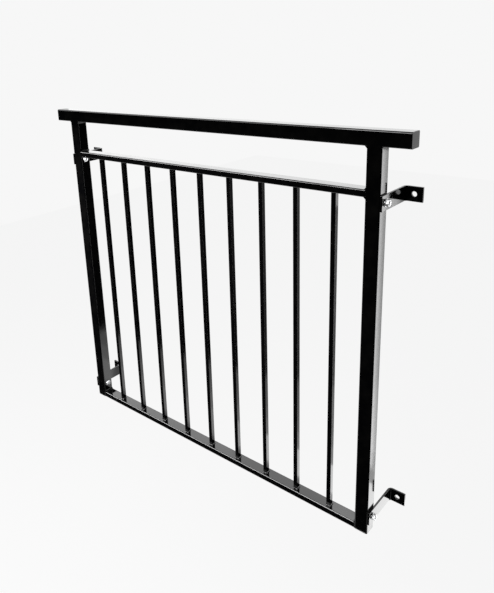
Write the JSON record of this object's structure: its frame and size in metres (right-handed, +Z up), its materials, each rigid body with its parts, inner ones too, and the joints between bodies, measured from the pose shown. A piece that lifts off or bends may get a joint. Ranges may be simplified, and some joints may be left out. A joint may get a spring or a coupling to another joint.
{
  "type": "balcony railing",
  "caption": "Straight balcony railing: box handrail and posts, square bars between two flat rails, and bent flat brackets bolted to the posts for fixing to a wall.",
  "frame": {"origin": "on the wall face of the lower left bracket's flange, on the upright line through its hole, 15 mm below the hole's centre", "axes": "+X along the railing from the left post to the right one, +Y into the wall, +Z up; the railing's front faces -Y"},
  "size_m": [1.344, 0.139, 1.16],
  "materials": {
    "black_paint": "gloss",
    "zinc": "satin"
  },
  "bodies": {
    "root": {"baluster_1": "black_paint", "baluster_2": "black_paint", "baluster_3": "black_paint", "baluster_4": "black_paint", "baluster_5": "black_paint", "baluster_6": "black_paint", "baluster_7": "black_paint", "baluster_8": "black_paint", "baluster_9": "black_paint", "bolt_lower_left": "zinc", "bolt_lower_right": "zinc", "bolt_upper_left": "zinc", "bolt_upper_right": "zinc", "bottom_rail": "black_paint", "bracket_lower_left": "black_paint", "bracket_lower_right": "black_paint", "bracket_upper_left": "black_paint", "bracket_upper_right": "black_paint", "handrail": "black_paint", "handrail_cap_left": "black_paint", "handrail_cap_right": "black_paint", "mid_rail": "black_paint", "nut_lower_left": "zinc", "nut_lower_right": "zinc", "nut_upper_left": "zinc", "nut_upper_right": "zinc", "post_foot_left": "black_paint", "post_foot_right": "black_paint", "post_left": "black_paint", "post_right": "black_paint", "washer_inner_lower_left": "zinc", "washer_inner_lower_right": "zinc", "washer_inner_upper_left": "zinc", "washer_inner_upper_right": "zinc", "washer_outer_lower_left": "zinc", "washer_outer_lower_right": "zinc", "washer_outer_upper_left": "zinc", "washer_outer_upper_right": "zinc"}
  },
  "joints": []
}
